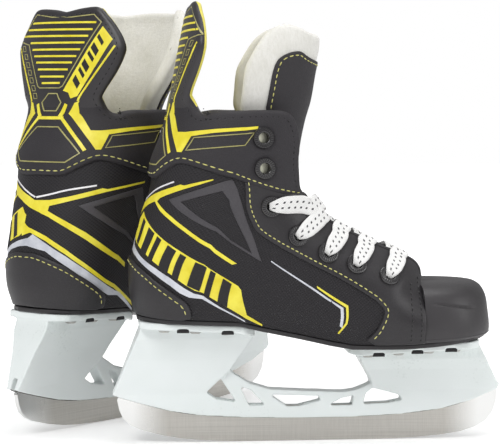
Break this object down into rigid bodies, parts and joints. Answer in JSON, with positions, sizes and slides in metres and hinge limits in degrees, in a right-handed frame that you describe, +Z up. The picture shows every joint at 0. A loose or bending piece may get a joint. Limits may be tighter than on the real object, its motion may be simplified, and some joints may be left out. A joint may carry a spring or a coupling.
{
  "type": "ice hockey skates",
  "caption": "Pair of youth ice hockey skates: laced padded boots with moulded toe caps, flexing tendon guards and felt tongues, on white blade holders with steel runners.",
  "frame": {"origin": "middle of the flat bottom of the right skate's runner", "axes": "+X towards the right skate's toe, +Y towards its inner side, +Z up; the left skate stands behind it on +Y, turned 44 degrees outwards"},
  "size_m": [0.2635, 0.213, 0.2286],
  "materials": {
    "outsole": "satin moulded sole",
    "board": "pressed fibre board",
    "footbed": "brushed foam-backed fabric",
    "toe_cap": "semi-gloss moulded plastic",
    "lining": "brushed lining",
    "shell": "fine-grained synthetic leather with printed film",
    "overlay": "smooth synthetic leather overlay with yellow stitching",
    "collar": "padded synthetic leather with yellow trim",
    "foam": "closed-cell foam",
    "guard": "synthetic leather with raised yellow stripes",
    "guard_lining": "yellow bound lining",
    "tongue_face": "woven synthetic",
    "felt": "dense white felt",
    "eyelets": "blackened, semi-gloss",
    "lace": "flat woven lace with black flecks",
    "holder": "white moulded plastic, soft gloss",
    "runner": "ground steel",
    "fasteners": "bright steel"
  },
  "bodies": {
    "right_skate": {"right_outsole": "outsole", "right_midsole_board": "board", "right_footbed": "footbed", "right_toe_cap": "toe_cap", "right_toe_box_lining": "lining", "right_lateral_quarter": "shell", "right_medial_quarter": "shell", "right_heel_counter": "overlay", "right_ankle_collar": "collar", "right_lateral_eyestay": "overlay", "right_medial_eyestay": "overlay", "right_liner": "lining", "right_ankle_pads": "foam", "right_tongue_base": "tongue_face", "right_eyelets": "eyelets", "right_lace": "lace", "right_holder": "holder", "right_runner": "runner", "right_rivets": "fasteners", "right_runner_bolts": "fasteners", "right_runner_nuts": "fasteners"},
    "right_tongue": {"right_tongue_flap": "felt", "right_tongue_facing": "tongue_face"},
    "right_guard": {"right_tendon_guard": "guard", "right_guard_lining": "guard_lining"},
    "left_skate": {"left_outsole": "outsole", "left_midsole_board": "board", "left_footbed": "footbed", "left_toe_cap": "toe_cap", "left_toe_box_lining": "lining", "left_lateral_quarter": "shell", "left_medial_quarter": "shell", "left_heel_counter": "overlay", "left_ankle_collar": "collar", "left_lateral_eyestay": "overlay", "left_medial_eyestay": "overlay", "left_liner": "lining", "left_ankle_pads": "foam", "left_tongue_base": "tongue_face", "left_eyelets": "eyelets", "left_lace": "lace", "left_holder": "holder", "left_runner": "runner", "left_rivets": "fasteners", "left_runner_bolts": "fasteners", "left_runner_nuts": "fasteners"},
    "left_tongue": {"left_tongue_flap": "felt", "left_tongue_facing": "tongue_face"},
    "left_guard": {"left_tendon_guard": "guard", "left_guard_lining": "guard_lining"}
  },
  "joints": [
    {"name": "right_tongue_fold", "type": "hinge", "parent": "right_skate", "child": "right_tongue", "pos_m": [-0.0024, 0, 0.1305], "axis": [0, 1, 0], "range_deg": [-8, 45]},
    {"name": "right_guard_flex", "type": "hinge", "parent": "right_skate", "child": "right_guard", "pos_m": [-0.0726, 0, 0.1736], "axis": [0, 1, 0], "range_deg": [-30, 5]},
    {"name": "left_skate_apart", "type": "slide", "parent": "right_skate", "child": "left_skate", "axis": [0, 1, 0], "range_m": [0, 0.15]},
    {"name": "left_tongue_fold", "type": "hinge", "parent": "left_skate", "child": "left_tongue", "pos_m": [-0.08373, 0.08733, 0.1305], "axis": [-0.6947, 0.7193, 0], "range_deg": [-8, 45]},
    {"name": "left_guard_flex", "type": "hinge", "parent": "left_skate", "child": "left_guard", "pos_m": [-0.13422, 0.03857, 0.1736], "axis": [-0.6947, 0.7193, 0], "range_deg": [-30, 5]}
  ]
}
